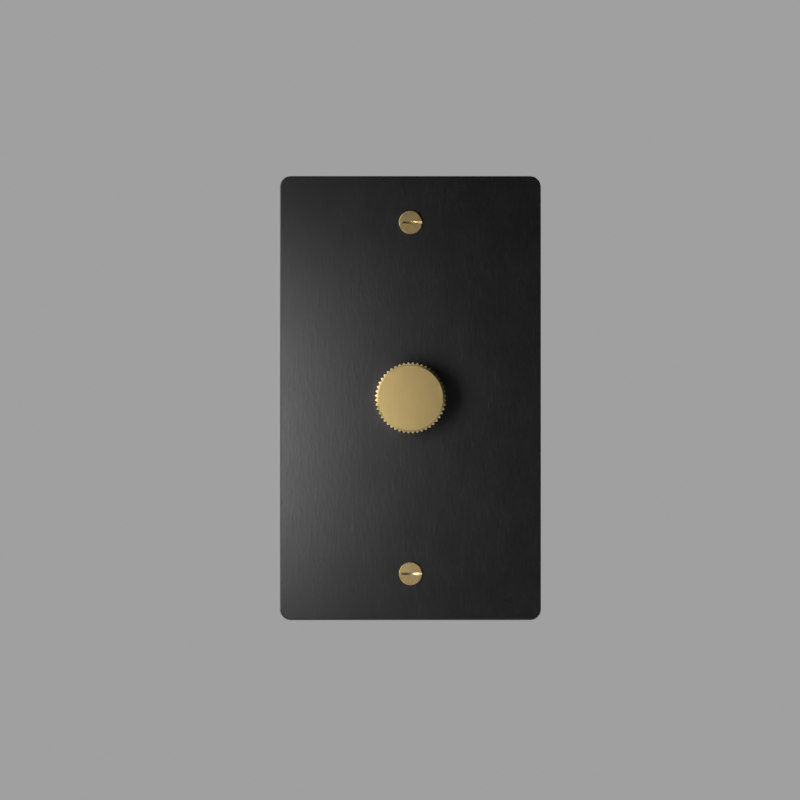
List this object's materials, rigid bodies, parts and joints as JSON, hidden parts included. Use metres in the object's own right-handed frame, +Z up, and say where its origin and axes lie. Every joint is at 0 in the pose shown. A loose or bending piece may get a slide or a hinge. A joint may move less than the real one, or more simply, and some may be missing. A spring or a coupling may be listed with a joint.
{
  "type": "rotary dimmer switch",
  "caption": "Wall mounted rotary push dimmer: black brushed rectangular plate, toothed brass knob, slotted brass screws and a moulded rear housing with side terminals.",
  "frame": {"origin": "where the knob axis meets the wall plane, which is the plane of the plate's rear rim", "axes": "+X to the right seen from the front, +Y into the wall along the knob axis, +Z up"},
  "size_m": [0.072, 0.0489, 0.1226],
  "materials": {
    "black_coated_metal": "fine vertical brushing under a black satin coat",
    "brushed_brass": "lightly brushed, unlacquered",
    "zinc_steel": "zinc plated",
    "spring_steel": "bright drawn",
    "strap_aluminium": "rolled sheet, tumbled",
    "housing_plastic": "fine moulded texture",
    "inner_plastic": "moulded",
    "terminal_brass": "stamped",
    "green_steel": "green dyed plating",
    "red_fibre": "pressed fibre",
    "track_wafer": "paper laminate",
    "contact_metal": "bronze, silver faced",
    "board_laminate": "glass laminate with solder mask",
    "component_black": "moulded epoxy",
    "silicone_pad": "filled silicone",
    "iron_powder": "pressed and varnished",
    "enamelled_copper": "enamelled wire",
    "capacitor_box": "potted box",
    "resistor_lacquer": "lacquered film",
    "diac_body": "sealed body"
  },
  "bodies": {
    "frame": {"face_plate": "black_coated_metal", "plate_screws": "brushed_brass", "bush": "zinc_steel", "bush_nut": "zinc_steel", "bush_washer": "zinc_steel", "mounting_strap": "strap_aluminium", "box_screws": "zinc_steel", "screw_retainers": "red_fibre", "ground_screw": "green_steel", "resistance_track": "track_wafer", "regulator_case": "zinc_steel", "switch_case": "inner_plastic", "return_spring": "spring_steel", "circuit_board": "board_laminate", "triac": "component_black", "triac_pad": "silicone_pad", "triac_screw": "zinc_steel", "triac_nut": "zinc_steel", "choke_core": "iron_powder", "choke_winding": "enamelled_copper", "filter_capacitor": "capacitor_box", "timing_capacitor": "capacitor_box", "resistor": "resistor_lacquer", "diac": "diac_body", "rear_housing": "housing_plastic", "housing_screws": "zinc_steel", "terminal_screws": "terminal_brass", "track_pin_left": "contact_metal", "track_pin_middle": "contact_metal", "track_pin_right": "contact_metal", "switch_contact_left": "contact_metal", "switch_contact_right": "contact_metal", "terminal_plate_common": "terminal_brass", "terminal_plate_traveller_upper": "terminal_brass", "terminal_plate_traveller_lower": "terminal_brass"},
    "rotor": {"wiper_rotor": "inner_plastic", "wiper_contact": "contact_metal"},
    "knob": {"knob": "brushed_brass", "grub_screw": "spring_steel", "shaft": "zinc_steel", "shaft_clip": "spring_steel"},
    "plunger": {"switch_plunger": "inner_plastic", "contact_bridge": "contact_metal"}
  },
  "joints": [
    {"name": "dimmer_turn", "type": "hinge", "parent": "frame", "child": "rotor", "pos_m": [0, 0, 0], "axis": [0, 1, 0], "range_deg": [-148, 148]},
    {"name": "knob_push", "type": "slide", "parent": "rotor", "child": "knob", "axis": [0, 1, 0], "range_m": [0, 0.0015], "stiffness_N_per_m": 2000, "springref_m": -0.001, "deforming": ["return_spring"]},
    {"name": "plunger_push", "type": "slide", "parent": "frame", "child": "plunger", "axis": [0, 1, 0], "range_m": [0, 0.0015]}
  ],
  "couplings": [
    {"joint": "plunger_push", "follows": "knob_push", "ratio": 1}
  ]
}
